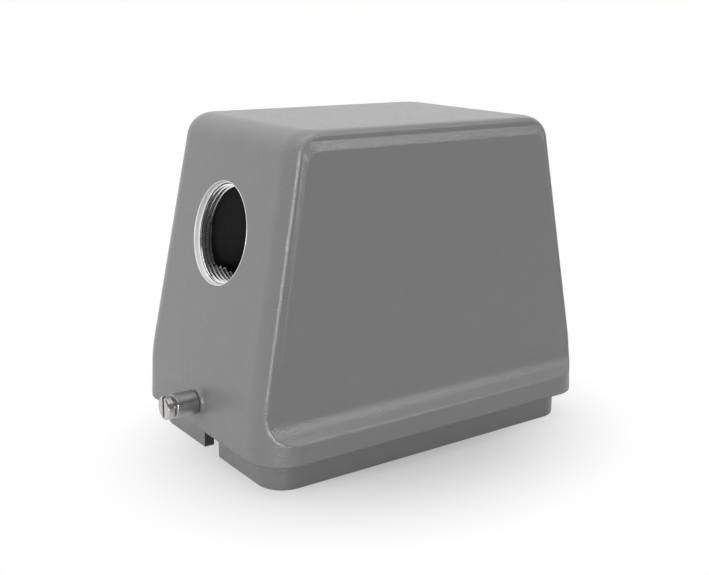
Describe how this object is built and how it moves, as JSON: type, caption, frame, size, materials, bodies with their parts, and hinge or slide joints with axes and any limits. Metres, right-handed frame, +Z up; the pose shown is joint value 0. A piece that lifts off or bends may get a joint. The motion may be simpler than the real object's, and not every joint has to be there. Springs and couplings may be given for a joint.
{
  "type": "heavy duty rectangular connector hood",
  "caption": "Die cast connector hood with tapered body, angled side cable entry, locking pegs with rollers and socket contact inserts.",
  "frame": {"origin": "centre of the collar's lower rim, on the plane that the hood stands on", "axes": "+X along the hood's length away from the cable entry, +Z up through the roof"},
  "size_m": [0.1558, 0.0876, 0.1073],
  "materials": {
    "hood_casting": "semi-matt grey powder coat with a fine grain",
    "peg_steel": "bright turned",
    "roller_steel": "turned, slightly darker than the peg",
    "insert_plastic": "moulded, light grey",
    "contact_metal": "silver plated",
    "screw_steel": "zinc plated",
    "plate_steel": "zinc plated"
  },
  "bodies": {
    "hood": {"hood_shell": "hood_casting", "left_locking_peg": "peg_steel", "right_locking_peg": "peg_steel", "front_insert_body": "insert_plastic", "front_outer_contacts": "contact_metal", "front_inner_contacts": "contact_metal", "front_terminal_screws": "screw_steel", "front_left_earth_plate": "plate_steel", "front_right_earth_plate": "plate_steel", "front_earth_screws": "screw_steel", "front_fixing_screws": "screw_steel", "rear_insert_body": "insert_plastic", "rear_outer_contacts": "contact_metal", "rear_inner_contacts": "contact_metal", "rear_terminal_screws": "screw_steel", "rear_left_earth_plate": "plate_steel", "rear_right_earth_plate": "plate_steel", "rear_earth_screws": "screw_steel", "rear_fixing_screws": "screw_steel"},
    "left_roller": {"left_peg_roller": "roller_steel"},
    "right_roller": {"right_peg_roller": "roller_steel"}
  },
  "joints": [
    {"name": "left_roller_spin", "type": "hinge", "parent": "hood", "child": "left_roller", "pos_m": [-0.07088, 0, 0.0191], "axis": [-1, 0, 0], "continuous": true},
    {"name": "right_roller_spin", "type": "hinge", "parent": "hood", "child": "right_roller", "pos_m": [0.07088, 0, 0.0191], "axis": [1, 0, 0], "continuous": true}
  ]
}
